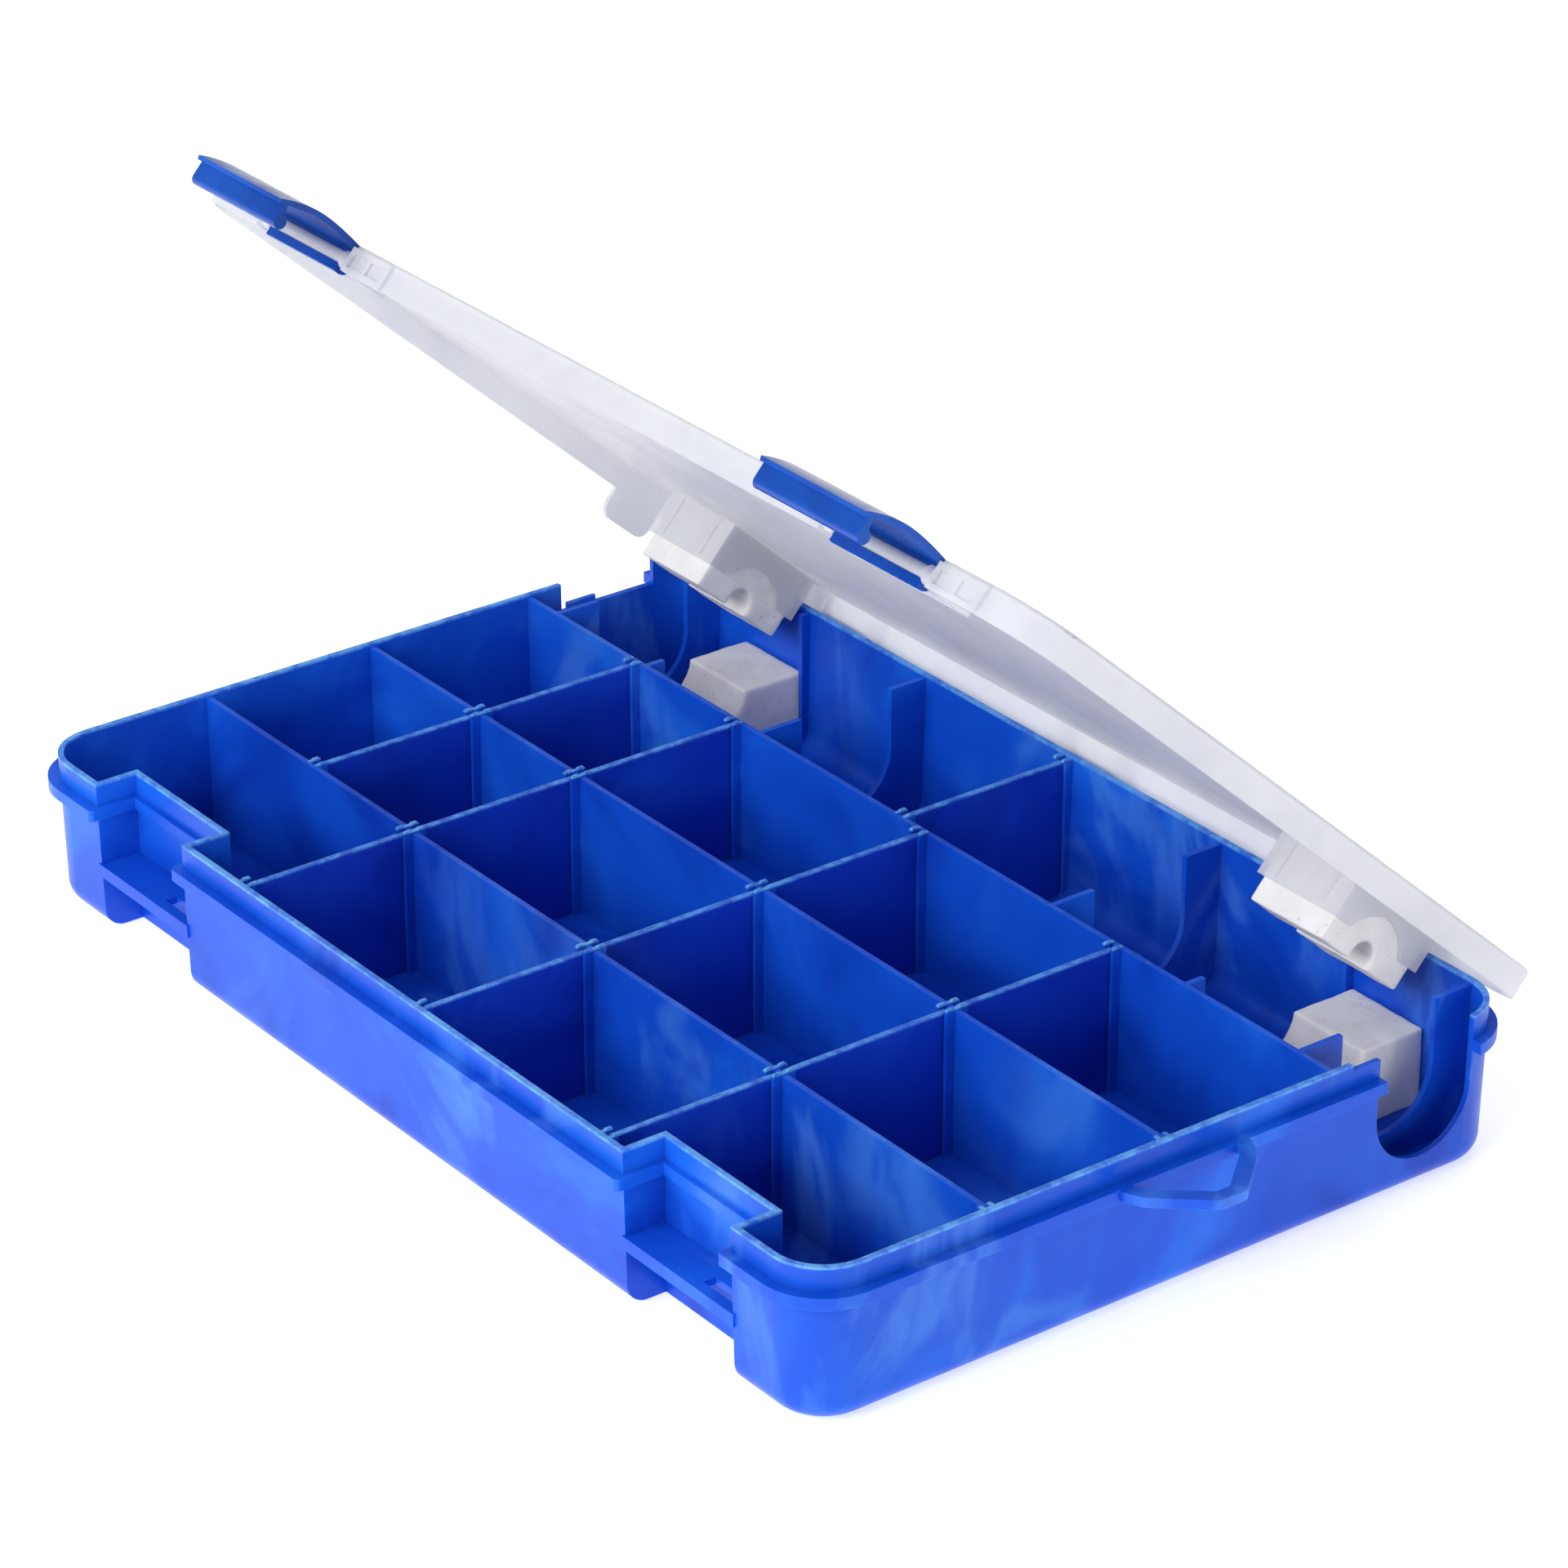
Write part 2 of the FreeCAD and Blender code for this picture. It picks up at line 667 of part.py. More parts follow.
def make_lid_closed():
    x_out = x_end + lid_overhang
    y0 = y_front - lid_overhang
    y1 = y_back + lid_overhang
    cover = rounded_block(-x_out, x_out, y0, y1, skirt_bottom, lid_top, lid_corner_radius)

    def top_edge(edge):
        return edge.BoundBox.ZMin > lid_top - hair
    cover = round_edges(cover, lid_edge_radius, top_edge)
    t = lid_skirt_thickness
    space = rounded_block(-x_out + t, x_out - t, y0 + t, y1 - t, skirt_bottom - overrun, lid_plate_bottom,
                          lid_corner_radius - t)
    for centre in recess_centres:
        space = space.cut(lid_notch_space(centre, lid_notch_wall, -far, far))
    cover = cover.cut(space)
    added = []
    for centre in recess_centres:
        cover = cover.cut(lid_notch_space(centre, 0.0, -far, far))
        added.extend(front_pads(centre))
        added.extend(lid_rod(centre))
    for centre in foam_centres:
        added.append(foam_holder(centre))
    for x in hinge_centres():
        added.extend(lid_knuckles(x))
    tab_y = rod_line_y
    tab = box(-x_out, -x_out + tab_thickness, tab_y - tab_length / 2.0, tab_y + tab_length / 2.0,
              skirt_bottom - tab_drop, skirt_bottom + overrun)

    def tab_corner(edge):
        return edge.BoundBox.ZMax < skirt_bottom - tab_drop + hair and edge.BoundBox.YLength < hair
    added.append(round_edges(tab, tab_radius, tab_corner))
    return cover.fuse(added).removeSplitter()


def make_latch_open(centre):
    """A latch standing straight out from the shut lid: (out, up) are measured from its rod."""
    half = recess_width / 2.0 - lid_notch_clearance - lid_notch_wall - latch_side_clearance
    x0 = centre - half
    x1 = centre + half

    def at(out, up):
        return FreeCAD.Vector(x0, latch_rod_y - out, latch_rod_z + up)

    def curve(points):
        line = Part.BSplineCurve()
        line.interpolate([at(out, up) for out, up in points])
        return line.toShape()

    def edge(start, end):
        return Part.LineSegment(at(*start), at(*end)).toShape()

    outer_line = list(latch_blade)
    tip_out, tip_up = outer_line[-1]
    under_line = [(out, up - latch_thickness) for out, up in outer_line[:-1]]
    under_line.append((tip_out - latch_tip_taper, tip_up - latch_thickness + latch_tip_taper))
    blade_wire = Part.Wire([
        curve(outer_line),
        edge(outer_line[-1], under_line[-1]),
        curve(list(reversed(under_line))),
        edge(under_line[0], outer_line[0]),
    ])
    blade = Part.Face(blade_wire).extrude(FreeCAD.Vector(x1 - x0, 0, 0))
    bead_y = latch_rod_y - latch_hook_reach
    bead_z = latch_rod_z - latch_hook_drop
    bead = rod(x0, x1, bead_y, bead_z, latch_bead_radius)
    web_y = bead_y - latch_bead_radius
    web_top = latch_rod_z + latch_web_top
    web = prism_along_x([(web_y, bead_z), (web_y, web_top), (web_y + latch_web_thickness, web_top),
                         (web_y + 2.0 * latch_web_thickness, bead_z)], x0, x1)
    clip_x0 = x0 + boss_length
    clip_x1 = x1 - boss_length
    clip = rod(clip_x0, clip_x1, latch_rod_y, latch_rod_z, latch_clip_radius)
    mouth = box(clip_x0 - overrun, clip_x1 + overrun, latch_rod_y - far, latch_rod_y,
                latch_rod_z - latch_lip_drop, latch_rod_z + far)
    beyond_lip = box(clip_x0 - overrun, clip_x1 + overrun, latch_rod_y - far, latch_rod_y - latch_lip_reach,
                     latch_rod_z - far, latch_rod_z + far)
    bore_radius = rod_radius + latch_bore_clearance
    bore = rod(clip_x0 - overrun, clip_x1 + overrun, latch_rod_y, latch_rod_z, bore_radius)
    clip = clip.cut(mouth).cut(beyond_lip).cut(bore)
    return blade.fuse([bead, web, clip]).removeSplitter()


def open_lid(shape):
    """Swing a piece that was drawn on the shut lid to where it stands with the lid ajar."""
    shape = shape.copy()
    shape.rotate(FreeCAD.Vector(0, hinge_y, hinge_z), FreeCAD.Vector(1, 0, 0), -lid_open_degrees)
    return shape


export(make_tray(), "tray")
export(open_lid(make_lid_closed()), "lid")
outer_foot = inner_floor_radius + divider_clearance
plain_foot = divider_corner_radius
for name, x in zip(("e", "f", "g"), front_xs):
    export(make_divider(x, row_front, outer_foot, plain_foot), "divider_front_" + name)
for name, x in zip(("d", "e", "f", "g"), row_xs):
    export(make_divider(x, row_middle, plain_foot, plain_foot), "divider_middle_" + name)
for name, x in zip(("d", "e", "f", "g"), row_xs):
    export(make_divider(x, row_rear, plain_foot, plain_foot), "divider_rear_" + name)
export(make_divider(0.0, row_rod, plain_foot, outer_foot), "divider_rod_bay")
for side_name, centre in zip(("left", "right"), recess_centres):
    export(open_lid(make_latch_open(centre)), "latch_" + side_name)
for side_name, centre in zip(("left", "right"), foam_centres):
    export(make_tray_foam(centre), "foam_tray_" + side_name)
    export(open_lid(make_lid_foam(centre)), "foam_lid_" + side_name)
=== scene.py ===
import json
import math
import random

import bmesh
import bpy
from mathutils import Matrix, Vector, noise


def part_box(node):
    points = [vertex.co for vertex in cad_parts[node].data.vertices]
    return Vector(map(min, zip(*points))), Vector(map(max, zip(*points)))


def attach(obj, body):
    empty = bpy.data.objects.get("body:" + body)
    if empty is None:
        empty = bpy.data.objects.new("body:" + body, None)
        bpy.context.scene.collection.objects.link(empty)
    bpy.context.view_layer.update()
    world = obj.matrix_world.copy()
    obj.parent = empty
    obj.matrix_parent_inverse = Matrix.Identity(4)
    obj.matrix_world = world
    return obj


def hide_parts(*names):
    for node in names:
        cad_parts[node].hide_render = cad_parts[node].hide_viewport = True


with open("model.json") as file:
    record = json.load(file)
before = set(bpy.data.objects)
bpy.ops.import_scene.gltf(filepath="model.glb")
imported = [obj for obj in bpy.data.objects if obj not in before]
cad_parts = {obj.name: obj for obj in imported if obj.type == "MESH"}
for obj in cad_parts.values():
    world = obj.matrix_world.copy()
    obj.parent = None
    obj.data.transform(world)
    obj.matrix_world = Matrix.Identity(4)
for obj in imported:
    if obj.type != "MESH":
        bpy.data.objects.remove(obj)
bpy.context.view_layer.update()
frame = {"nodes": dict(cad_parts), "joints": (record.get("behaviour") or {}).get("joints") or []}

MM = 0.001

# The camera stands off the box's right end, towards the latch side, and looks down on it.
CAMERA_PLACE = Vector((1.0682, -0.79305, 0.7397))
CAMERA_AZIMUTH = math.radians(52.92)
CAMERA_ELEVATION = math.radians(26.83)
CAMERA_LENS = 135.08
CAMERA_SHIFT_X = -0.0035

# The lid stands ajar by this angle about the hinge line.
LID_OPEN = math.radians(42.0)

# The moulding's own sizes
RIM_TOP = 43.0 * MM
WALL_DROP = 0.9 * MM
# DIVIDER_EDGE and PALE_FADE size the band of painted highlight on the top edges.
DIVIDER_EDGE = 0.7 * MM
PALE_FADE = 0.5 * MM
SOFT_EDGE = 0.30 * MM
FINE_EDGE = 0.25 * MM


def joint_place(name):
    for joint in frame["joints"]:
        if joint["name"] == name:
            return Vector(joint["pos_m"])
    raise KeyError(name)


HINGE = joint_place("lid_hinge")


def swing(point):
    """Takes a point of the shut lid to where it is with the lid ajar."""
    turn = Matrix.Rotation(-LID_OPEN, 4, "X")
    return HINGE + turn @ (Vector(point) - HINGE)


def unswing(point):
    turn = Matrix.Rotation(LID_OPEN, 4, "X")
    return HINGE + turn @ (Vector(point) - HINGE)


# ---------------------------------------------------------------- materials


class Shader:
    """A small helper that adds nodes to a material and links them."""

    def __init__(self, name):
        self.material = bpy.data.materials.new(name)
        self.material.use_nodes = True
        self.tree = self.material.node_tree
        self.tree.nodes.clear()
        self.output = self.tree.nodes.new("ShaderNodeOutputMaterial")
        self.bsdf = self.tree.nodes.new("ShaderNodeBsdfPrincipled")
        self.link(self.bsdf.outputs[0], self.output.inputs["Surface"])
        self.place = self.tree.nodes.new("ShaderNodeTexCoord").outputs["Object"]

    def link(self, source, target):
        self.tree.links.new(source, target)

    def set(self, **values):
        for name, value in values.items():
            self.bsdf.inputs[name.replace("_", " ")].default_value = value

    def add(self, kind, inputs=None, **settings):
        node = self.tree.nodes.new(kind)
        for name, value in settings.items():
            setattr(node, name, value)
        for name, value in (inputs or {}).items():
            if isinstance(value, bpy.types.NodeSocket):
                self.link(value, node.inputs[name])
            else:
                node.inputs[name].default_value = value
        return node

    def noise(self, scale, detail=4.0, roughness=0.55, distortion=0.0, vector=None):
        node = self.add("ShaderNodeTexNoise", {
            "Scale": scale, "Detail": detail, "Roughness": roughness, "Distortion": distortion,
            "Vector": vector or self.place})
        return node.outputs["Fac"]

    def stretch(self, scale, turn=(0.0, 0.0, 0.0)):
        node = self.add("ShaderNodeMapping", {"Vector": self.place})
        node.inputs["Scale"].default_value = scale
        node.inputs["Rotation"].default_value = turn
        return node.outputs["Vector"]

    def ramp(self, factor, stops):
        node = self.add("ShaderNodeValToRGB", {"Fac": factor})
        ramp = node.color_ramp
        ramp.interpolation = "EASE"
        while len(ramp.elements) > 1:
            ramp.elements.remove(ramp.elements[-1])
        ramp.elements[0].position = stops[0][0]
        ramp.elements[0].color = as_colour(stops[0][1])
        for position, colour in stops[1:]:
            element = ramp.elements.new(position)
            element.color = as_colour(colour)
        return node.outputs["Color"]

    def math(self, operation, first, second=0.0):
        node = self.tree.nodes.new("ShaderNodeMath")
        node.operation = operation
        for index, value in enumerate((first, second)):
            if isinstance(value, bpy.types.NodeSocket):
                self.link(value, node.inputs[index])
            else:
                node.inputs[index].default_value = value
        return node.outputs[0]

    def mix(self, factor, first, second):
        node = self.tree.nodes.new("ShaderNodeMix")
        node.data_type = "RGBA"
        for socket, value in zip((node.inputs[0], node.inputs[6], node.inputs[7]), (factor, first, second)):
            if isinstance(value, bpy.types.NodeSocket):
                self.link(value, socket)
            elif socket is node.inputs[0]:
                socket.default_value = value
            else:
                socket.default_value = as_colour(value)
        return node.outputs[2]

    def bumps(self, *layers):
        """Chains bump nodes: each layer is (height, strength, distance in metres)."""
        normal = None
        for height, strength, distance in layers:
            inputs = {"Height": height, "Strength": strength, "Distance": distance}
            if normal is not None:
                inputs["Normal"] = normal
            normal = self.add("ShaderNodeBump", inputs).outputs["Normal"]
        self.link(normal, self.bsdf.inputs["Normal"])


def as_colour(value):
    if isinstance(value, (int, float)):
        value = (value, value, value)
    return (*value[:3], 1.0)


def blue_plastic(name, tones, roughness, marbling, pale_top):
    """Blue polypropylene with the pale smears that badly mixed colour leaves in it.

    pale_top is the height above which the moulding's thin top edges get a ragged painted highlight,
    standing in for light showing through the thin plastic.
    """
    deep, base, light, smear_and_highlight_tone = tones
    s = Shader(name)
    cloud = s.noise(12.0, 3.0, 0.6, 1.2)
    colour = s.ramp(cloud, [(0.30, deep), (0.50, base), (0.72, light)])
    smear = s.noise(16.0, 5.0, 0.50, 1.8, s.stretch((1.0, 1.0, 0.55), (0.5, 0.3, 0.4)))
    wisps = s.ramp(smear, [(0.50, 0.0), (0.60, 0.55), (0.66, 0.1), (0.75, 0.8)])
    patch = s.ramp(s.noise(6.5, 2.0, 0.5), [(0.44, 0.0), (0.64, 1.0)])
    amount = s.math("MULTIPLY", s.math("MULTIPLY", wisps, patch), marbling)
    colour = s.mix(amount, colour, smear_and_highlight_tone)
    # Painted highlight: above pale_top the top edges are lightened towards the pale tone in a ragged band,
    # as light showing through the thin plastic. The same pale tone also colours the real marbled smears.
    height = s.add("ShaderNodeSeparateXYZ", {"Vector": s.place}).outputs["Z"]
    above = s.add("ShaderNodeMapRange", {
        "Value": height, "From Min": pale_top, "From Max": pale_top + PALE_FADE})
    ragged = s.ramp(s.noise(210.0, 4.0, 0.7), [(0.36, 0.25), (0.62, 0.90)])
    rim_highlight = s.math("MULTIPLY", above.outputs["Result"], ragged)
    colour = s.mix(rim_highlight, colour, smear_and_highlight_tone)
    s.link(colour, s.bsdf.inputs["Base Color"])
    rough = s.ramp(s.noise(42.0, 4.0, 0.6), [(0.3, roughness - 0.05), (0.7, roughness + 0.06)])
    s.link(rough, s.bsdf.inputs["Roughness"])
    s.set(Subsurface_Weight=0.45, Subsurface_Scale=0.0024, IOR=1.49, Specular_IOR_Level=0.25)
    s.bsdf.inputs["Subsurface Radius"].default_value = (0.15, 0.35, 1.0)
    scuff = s.noise(60.0, 6.0, 0.75, 0.6, s.stretch((1.0, 1.0, 6.0)))
    s.bumps((s.noise(22.0, 2.0), 0.22, 0.0005), (scuff, 0.08, 0.0003), (s.noise(1500.0, 2.0), 0.05, 0.0001))
    return s.material


def clear_plastic():
    """Frosted see-through polypropylene: milky, with faint flow marks."""
    s = Shader("frosted_plastic")
    cloud = s.noise(13.0, 3.0, 0.55, 1.2)
    colour = s.ramp(cloud, [(0.3, (0.76, 0.77, 0.83)), (0.7, (0.84, 0.85, 0.895))])
    s.link(colour, s.bsdf.inputs["Base Color"])
    rough = s.ramp(s.noise(55.0, 4.0, 0.6), [(0.3, 0.30), (0.7, 0.42)])
    s.link(rough, s.bsdf.inputs["Roughness"])
    s.set(Transmission_Weight=0.25, IOR=1.40, Subsurface_Weight=0.4, Subsurface_Scale=0.004)
    s.bsdf.inputs["Subsurface Radius"].default_value = (1.0, 1.0, 1.0)
    see = s.ramp(s.noise(20.0, 3.0, 0.6, 1.0), [(0.3, 0.62), (0.7, 0.72)])
    s.link(see, s.bsdf.inputs["Alpha"])
    flow = s.noise(26.0, 5.0, 0.7, 1.5, s.stretch((1.0, 0.4, 1.0)))
    s.bumps((flow, 0.16, 0.0005), (s.noise(900.0, 2.0), 0.06, 0.0001))
    return s.material


def foam_material(name, tones, painted_glow):
    """White closed-cell foam with small open pores and a slightly dusty surface; it glows faintly as
    painted light, and its pores are darkened with painted shade.
    """
    s = Shader(name)
    cloud = s.noise(70.0, 4.0, 0.6)
    colour = s.ramp(cloud, [(0.3, tones[0]), (0.7, tones[1])])
    cells = s.add("ShaderNodeTexVoronoi", {"Vector": s.place, "Scale": 800.0, "Randomness": 1.0})
    pits = s.ramp(cells.outputs["Distance"], [(0.12, 1.0), (0.30, 0.0)])
    scarce = s.ramp(s.noise(420.0, 2.0), [(0.56, 0.0), (0.66, 1.0)])
    pits = s.math("MULTIPLY", pits, scarce)
    # Painted shade: the pores are darkened towards grey, as shade falls inside them.
    colour = s.mix(s.math("MULTIPLY", pits, 0.5), colour, (0.34, 0.33, 0.32))
    s.link(colour, s.bsdf.inputs["Base Color"])
    # Painted light: the emission makes the foam glow so it looks brighter where it is shaded.
    s.set(Roughness=0.92, Subsurface_Weight=0.12, Subsurface_Scale=0.001,
          Emission_Color=(1.0, 1.0, 1.0, 1.0), Emission_Strength=painted_glow)
    s.bumps((s.math("SUBTRACT", 1.0, pits), 0.7, 0.0003), (s.noise(1100.0, 3.0), 0.35, 0.00025),
            (s.noise(120.0, 3.0), 0.3, 0.0006))
    return s.material


def floor_material():
    s = Shader("studio_floor")
    tone = s.ramp(s.noise(2.0, 2.0), [(0.3, 0.93), (0.7, 0.95)])
    s.link(tone, s.bsdf.inputs["Base Color"])
    s.set(Roughness=0.9, Emission_Color=(1.0, 1.0, 1.0, 1.0), Emission_Strength=0.55)
    s.bumps((s.noise(300.0, 3.0), 0.02, 0.0001))
    return s.material


DIVIDER_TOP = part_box("divider_front_e")[1].z
NO_PALE_TOP = 1.0    # a height above everything, for pieces without pale edges
TRAY_TONES = ((0.003, 0.042, 0.44), (0.005, 0.082, 0.60), (0.010, 0.135, 0.72), (0.15, 0.43, 0.88))
DIVIDER_TONES = ((0.003, 0.024, 0.38), (0.004, 0.040, 0.50), (0.007, 0.066, 0.60), (0.11, 0.34, 0.84))
LATCH_TONES = ((0.004, 0.042, 0.26), (0.005, 0.062, 0.36), (0.008, 0.090, 0.46), (0.10, 0.32, 0.74))
FLASH_TONES = ((0.01, 0.10, 0.60), (0.03, 0.18, 0.72), (0.08, 0.30, 0.80), (0.20, 0.45, 0.88))
TRAY_BLUE = blue_plastic("tray_blue", TRAY_TONES, 0.33, 0.42, RIM_TOP - WALL_DROP)
DIVIDER_BLUE = blue_plastic("divider_blue", DIVIDER_TONES, 0.36, 0.12, DIVIDER_TOP - DIVIDER_EDGE)
LATCH_BLUE = blue_plastic("latch_blue", LATCH_TONES, 0.24, 0.0, NO_PALE_TOP)
FLASH_BLUE = blue_plastic("flash_blue", FLASH_TONES, 0.40, 0.3, NO_PALE_TOP)
FROSTED = clear_plastic()
# Both foams glow faintly as painted light; the lid foam, shaded under the lid, glows a little more.
TRAY_FOAM = foam_material("tray_foam", ((0.66, 0.655, 0.66), (0.78, 0.775, 0.78)), 0.04)
LID_FOAM = foam_material("lid_foam", ((0.68, 0.675, 0.67), (0.78, 0.775, 0.77)), 0.05)


def dress(node, material):
    piece = frame["nodes"][node]
    piece.data.materials.clear()
    piece.data.materials.append(material)
    return piece


def soften(piece, width):
    """Rounds a moulded piece's sharp edges a little."""
    bevel = piece.modifiers.new("soft_edges", "BEVEL")
    bevel.width = width
    bevel.segments = 2
    bevel.limit_method = "ANGLE"
    bevel.angle_limit = math.radians(35.0)
    bevel.harden_normals = True
    bevel.use_clamp_overlap = True


for node_name in frame["nodes"]:
    if node_name == "tray":
        soften(dress(node_name, TRAY_BLUE), SOFT_EDGE)
    elif node_name == "lid":
        soften(dress(node_name, FROSTED), FINE_EDGE)
    elif node_name.startswith("latch"):
        soften(dress(node_name, LATCH_BLUE), FINE_EDGE)
    elif node_name.startswith("divider"):
        soften(dress(node_name, DIVIDER_BLUE), SOFT_EDGE)


def new_piece(name, builder):
    """Turns a bmesh into a named object in the scene."""
    mesh = bpy.data.meshes.new(name)
    builder.to_mesh(mesh)
    builder.free()
    piece = bpy.data.objects.new(name, mesh)
    bpy.context.scene.collection.objects.link(piece)
    return piece


# ---------------------------------------------------------------- foam blocks

ARC_STEPS = 14
CELL_SIZE = 0.8 * MM
COARSE_PUSH = 0.18 * MM
FINE_PUSH = 0.05 * MM
SHRINK = 0.12 * MM


def foam_outline(low, high, cut_centre, cut_radius):
    """The block's outline in (y, z): a round cove at its top front corner, or a groove in its base."""
    y0, z0 = low
    y1, z1 = high
    cy, cz = cut_centre
    if cz >= z1:
        turns = [-0.5 * math.pi * i / ARC_STEPS for i in range(ARC_STEPS + 1)]
        arc = [(cy + cut_radius * math.cos(turn), cz + cut_radius * math.sin(turn)) for turn in turns]
        return [(y0, z0), (y1, z0), (y1, z1)] + arc
    start = -math.asin((cz - z0) / cut_radius)
    turns = [start + (math.pi - 2.0 * start) * i / ARC_STEPS for i in range(ARC_STEPS + 1)]
    arc = [(cy - cut_radius * math.cos(turn), cz + cut_radius * math.sin(turn)) for turn in turns]
    return [(y0, z0)] + arc + [(y1, z0), (y1, z1), (y0, z1)]


def foam_block(name, node, body, x0, x1, outline, seed, swung):
    """A foam block with an uneven surface; a swung one is drawn with the lid shut and turned with it."""
    builder = bmesh.new()
    corners = [builder.verts.new((x0, y, z)) for y, z in outline]
    face = builder.faces.new(corners)
    pulled = bmesh.ops.extrude_face_region(builder, geom=[face])
    moved = [item for item in pulled["geom"] if isinstance(item, bmesh.types.BMVert)]
    bmesh.ops.translate(builder, vec=(x1 - x0, 0.0, 0.0), verts=moved)
    bmesh.ops.recalc_face_normals(builder, faces=builder.faces)
    piece = new_piece(name, builder)
    remesh = piece.modifiers.new("cells", "REMESH")
    remesh.mode = "VOXEL"
    remesh.voxel_size = CELL_SIZE
    relax = piece.modifiers.new("relax", "SMOOTH")
    relax.factor = 0.5
    relax.iterations = 3
    graph = bpy.context.evaluated_depsgraph_get()
    result = bpy.data.meshes.new_from_object(piece.evaluated_get(graph))
    piece.modifiers.clear()
    piece.data = result
    shift = Vector((seed * 1.7, seed * 0.9, seed * 2.3))
    for vertex in result.vertices:
        push = noise.noise(vertex.co * 160.0 + shift) * COARSE_PUSH
        push += noise.noise(vertex.co * 700.0 + shift) * FINE_PUSH
        vertex.co += vertex.normal * (push - SHRINK)
    if swung:
        for vertex in result.vertices:
            vertex.co = swing(vertex.co)
    for polygon in result.polygons:
        polygon.use_smooth = True
    result.materials.clear()
    result.materials.append(LID_FOAM if swung else TRAY_FOAM)
    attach(piece, body)
    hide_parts(node)


def shut_box(node):
    """A lid node's box with the lid shut."""
    points = [unswing(vertex.co) for vertex in frame["nodes"][node].data.vertices]
    low = Vector([min(p[i] for p in points) for i in range(3)])
    high = Vector([max(p[i] for p in points) for i in range(3)])
    return low, high


COVE_RADIUS = 9.5 * MM
GROOVE_RADIUS = 4.0 * MM
GROOVE_FROM_BACK = 17.8 * MM
GROOVE_LIFT = 2.2 * MM
for seed, side in enumerate(("left", "right")):
    low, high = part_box("foam_tray_" + side)
    outline = foam_outline((low.y, low.z), (high.y, high.z), (low.y, high.z), COVE_RADIUS)
    foam_block("foam_rest_" + side, "foam_tray_" + side, "tray", low.x, high.x, outline, seed + 1, False)
    low, high = shut_box("foam_lid_" + side)
    groove_y = high.y - GROOVE_FROM_BACK
    outline = foam_outline((low.y, low.z), (high.y, high.z), (groove_y, low.z + GROOVE_LIFT), GROOVE_RADIUS)
    foam_block("foam_press_" + side, "foam_lid_" + side, "lid", low.x, high.x, outline, seed + 5, True)

# ---------------------------------------------------------------- moulding flash

SLIVER_ROOT = 0.12 * MM


def add_sliver(builder, start, end, share, length, width, height, up):
    """One small ragged ridge of flash on a top edge that runs from start to end."""
    along = (end - start).normalized()
    across = along.cross(up).normalized()
    middle = start.lerp(end, share)
    foot = [middle - along * length * 0.5 - across * width,
            middle + along * length * 0.5 - across * width * 0.6,
            middle + along * length * 0.5 + across * width * 0.8,
            middle - along * length * 0.5 + across * width]
    foot = [point - up * SLIVER_ROOT for point in foot]
    crest = [middle - along * length * 0.2 + up * height,
             middle + along * length * 0.28 + up * height * 0.55]
    v = [builder.verts.new(point) for point in foot + crest]
    for corners in ((3, 2, 1, 0), (0, 1, 5, 4), (2, 3, 4, 5), (1, 2, 5), (3, 0, 4)):
        builder.faces.new([v[index] for index in corners])


def flash(name, body, runs, per_metre, seed, height):
    """Slivers scattered along straight top edges, in one mesh that rides on a body."""
    draw = random.Random(seed)
    up = Vector((0, 0, 1))
    builder = bmesh.new()
    for start, end in runs:
        start, end = Vector(start), Vector(end)
        count = int((end - start).length * per_metre)
        for _ in range(count):
            add_sliver(builder, start, end, draw.uniform(0.03, 0.97), draw.uniform(0.8, 4.2) * MM,
                       draw.uniform(0.10, 0.30) * MM, draw.uniform(0.4, 1.0) * height, up)
    bmesh.ops.recalc_face_normals(builder, faces=builder.faces)
    piece = new_piece(name, builder)
    piece.data.materials.append(FLASH_BLUE)
    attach(piece, body)


HALF_LENGTH = 170.0 * MM
HALF_WIDTH = 108.25 * MM
WALL_MIDDLE = 0.75 * MM
WALL_TOP = RIM_TOP - WALL_DROP
RIM_CORNER = 15.0 * MM
LATCH_CENTRE = HALF_LENGTH - 51.5 * MM
RECESS_HALF = 21.25 * MM
ROD_BAY_FRONT = 49.0 * MM


def tray_runs():
    """The straight stretches of the tray's rim and of the tops of its long walls."""
    front = -HALF_WIDTH + WALL_MIDDLE
    back = HALF_WIDTH - WALL_MIDDLE
    end = HALF_LENGTH - WALL_MIDDLE
    inner = LATCH_CENTRE - RECESS_HALF
    runs = [((-inner, front, RIM_TOP), (inner, front, RIM_TOP)),
            ((end, -HALF_WIDTH + RIM_CORNER, RIM_TOP), (end, ROD_BAY_FRONT, RIM_TOP)),
            ((-end, -HALF_WIDTH + RIM_CORNER, RIM_TOP), (-end, ROD_BAY_FRONT, RIM_TOP)),
            ((-end + RIM_CORNER, back, RIM_TOP), (end - RIM_CORNER, back, RIM_TOP))]
    rows = ["divider_front_e", "divider_middle_e", "divider_rear_e", "divider_rod_bay"]
    boxes = [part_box(node) for node in rows]
    for nearer, further in zip(boxes, boxes[1:]):
        y = (nearer[1].y + further[0].y) / 2.0
        runs.append(((-end, y, WALL_TOP), (end, y, WALL_TOP)))
    return runs


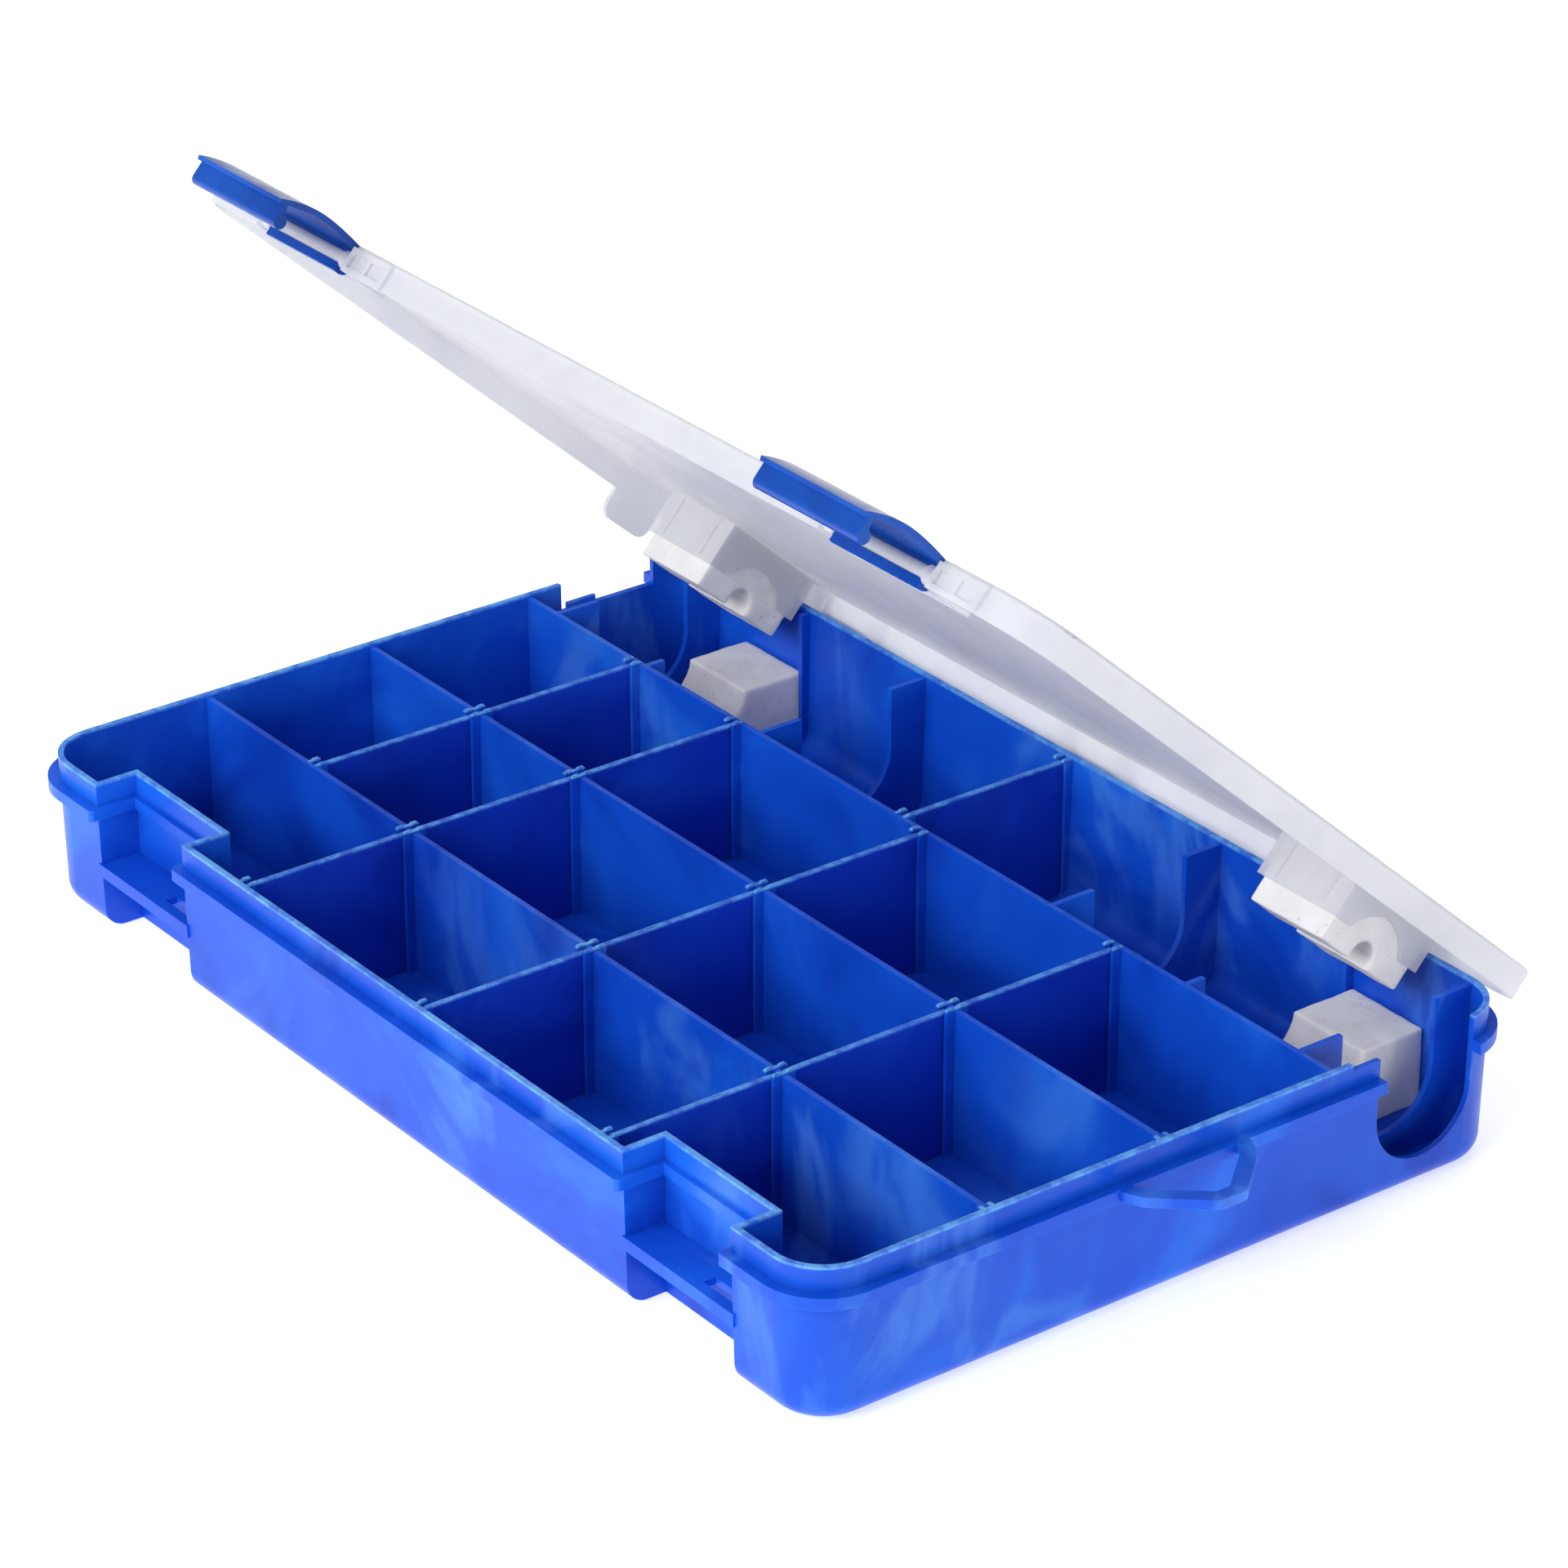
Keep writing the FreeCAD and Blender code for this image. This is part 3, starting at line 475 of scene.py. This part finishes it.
# The tray's flash stays below the gap under the shut lid.
RIM_FLASH_HEIGHT = 0.24 * MM
DIVIDER_FLASH_HEIGHT = 0.35 * MM
DIVIDER_FLASH_INSET = 1.0 * MM
flash("flash_tray", "tray", tray_runs(), 75.0, 11, RIM_FLASH_HEIGHT)
dividers = sorted(node for node in frame["nodes"] if node.startswith("divider"))
for seed, node_name in enumerate(dividers):
    low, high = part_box(node_name)
    x = (low.x + high.x) / 2.0
    run = ((x, low.y + DIVIDER_FLASH_INSET, high.z), (x, high.y - DIVIDER_FLASH_INSET, high.z))
    flash("flash_" + node_name, node_name, [run], 110.0, 31 + seed, DIVIDER_FLASH_HEIGHT)


CLAW_REACH = 2.6 * MM
CLAW_THICKNESS = 1.15 * MM
CLAW_HEIGHT = 0.9 * MM
CLAW_OFFSET = 0.85 * MM
CLAW_DROP = 0.35 * MM
CLAW_EDGE = 0.2 * MM


def junction_claws():
    """Small raised claws on the walls where each divider's end is held."""
    builder = bmesh.new()
    for node in dividers:
        low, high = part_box(node)
        middle = (low.x + high.x) / 2.0
        offset = (high.x - low.x) / 2.0 + CLAW_OFFSET
        for y, way in ((low.y, 1.0), (high.y, -1.0)):
            for side in (-1.0, 1.0):
                centre = Vector((middle + side * offset, y + way * CLAW_REACH * 0.35, RIM_TOP - CLAW_DROP))
                made = bmesh.ops.create_cube(builder, size=1.0)
                bmesh.ops.scale(builder, vec=(CLAW_THICKNESS, CLAW_REACH, CLAW_HEIGHT), verts=made["verts"])
                for vertex in made["verts"]:
                    if vertex.co.z > 0:
                        vertex.co.x *= 0.62
                        vertex.co.y *= 0.70
                bmesh.ops.translate(builder, vec=centre, verts=made["verts"])
    piece = new_piece("junction_claws", builder)
    piece.data.materials.append(TRAY_BLUE)
    bevel = piece.modifiers.new("soft_edges", "BEVEL")
    bevel.width = CLAW_EDGE
    bevel.segments = 2
    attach(piece, "tray")


junction_claws()

# ---------------------------------------------------------------- studio


FLOOR_SIZE = 6.0
FLOOR_DROP = 0.2 * MM
WORLD_STRENGTH = 0.35


def make_floor():
    mesh = bpy.data.meshes.new("floor")
    size = FLOOR_SIZE
    corners = [(-size, -size, 0), (size, -size, 0), (size, size, 0), (-size, size, 0)]
    mesh.from_pydata(corners, [], [(0, 1, 2, 3)])
    floor = bpy.data.objects.new("floor", mesh)
    floor.location.z = -FLOOR_DROP
    mesh.materials.append(floor_material())
    bpy.context.scene.collection.objects.link(floor)


def make_camera():
    data = bpy.data.cameras.new("camera")
    data.lens = CAMERA_LENS
    data.sensor_width = 36.0
    data.shift_x = CAMERA_SHIFT_X
    data.clip_end = 50.0
    camera = bpy.data.objects.new("camera", data)
    camera.location = CAMERA_PLACE
    forward = Vector((-math.sin(CAMERA_AZIMUTH) * math.cos(CAMERA_ELEVATION),
                      math.cos(CAMERA_AZIMUTH) * math.cos(CAMERA_ELEVATION), -math.sin(CAMERA_ELEVATION)))
    camera.rotation_euler = forward.to_track_quat("-Z", "Y").to_euler()
    bpy.context.scene.collection.objects.link(camera)
    bpy.context.scene.camera = camera


def area_light(name, place, target, size, power):
    data = bpy.data.lights.new(name, "AREA")
    data.shape = "RECTANGLE"
    data.size = size[0]
    data.size_y = size[1]
    data.energy = power
    lamp = bpy.data.objects.new(name, data)
    lamp.location = place
    lamp.rotation_euler = (Vector(target) - Vector(place)).to_track_quat("-Z", "Y").to_euler()
    bpy.context.scene.collection.objects.link(lamp)


def make_world():
    world = bpy.data.worlds.new("studio")
    world.use_nodes = True
    background = world.node_tree.nodes["Background"]
    background.inputs["Color"].default_value = (1.0, 1.0, 1.0, 1.0)
    background.inputs["Strength"].default_value = WORLD_STRENGTH
    bpy.context.scene.world = world


make_camera()
make_floor()
make_world()
area_light("front", (0.10, -1.45, 0.97), (0.0, 0.0, 0.05), (1.6, 0.8), 24.0)
area_light("right", (1.8, -0.2, 0.3), (0.0, 0.0, 0.05), (1.4, 0.5), 8.0)
area_light("top", (-0.5, 0.6, 1.7), (0.0, 0.0, 0.0), (1.4, 1.4), 6.0)
bpy.context.scene.view_settings.view_transform = "Standard"
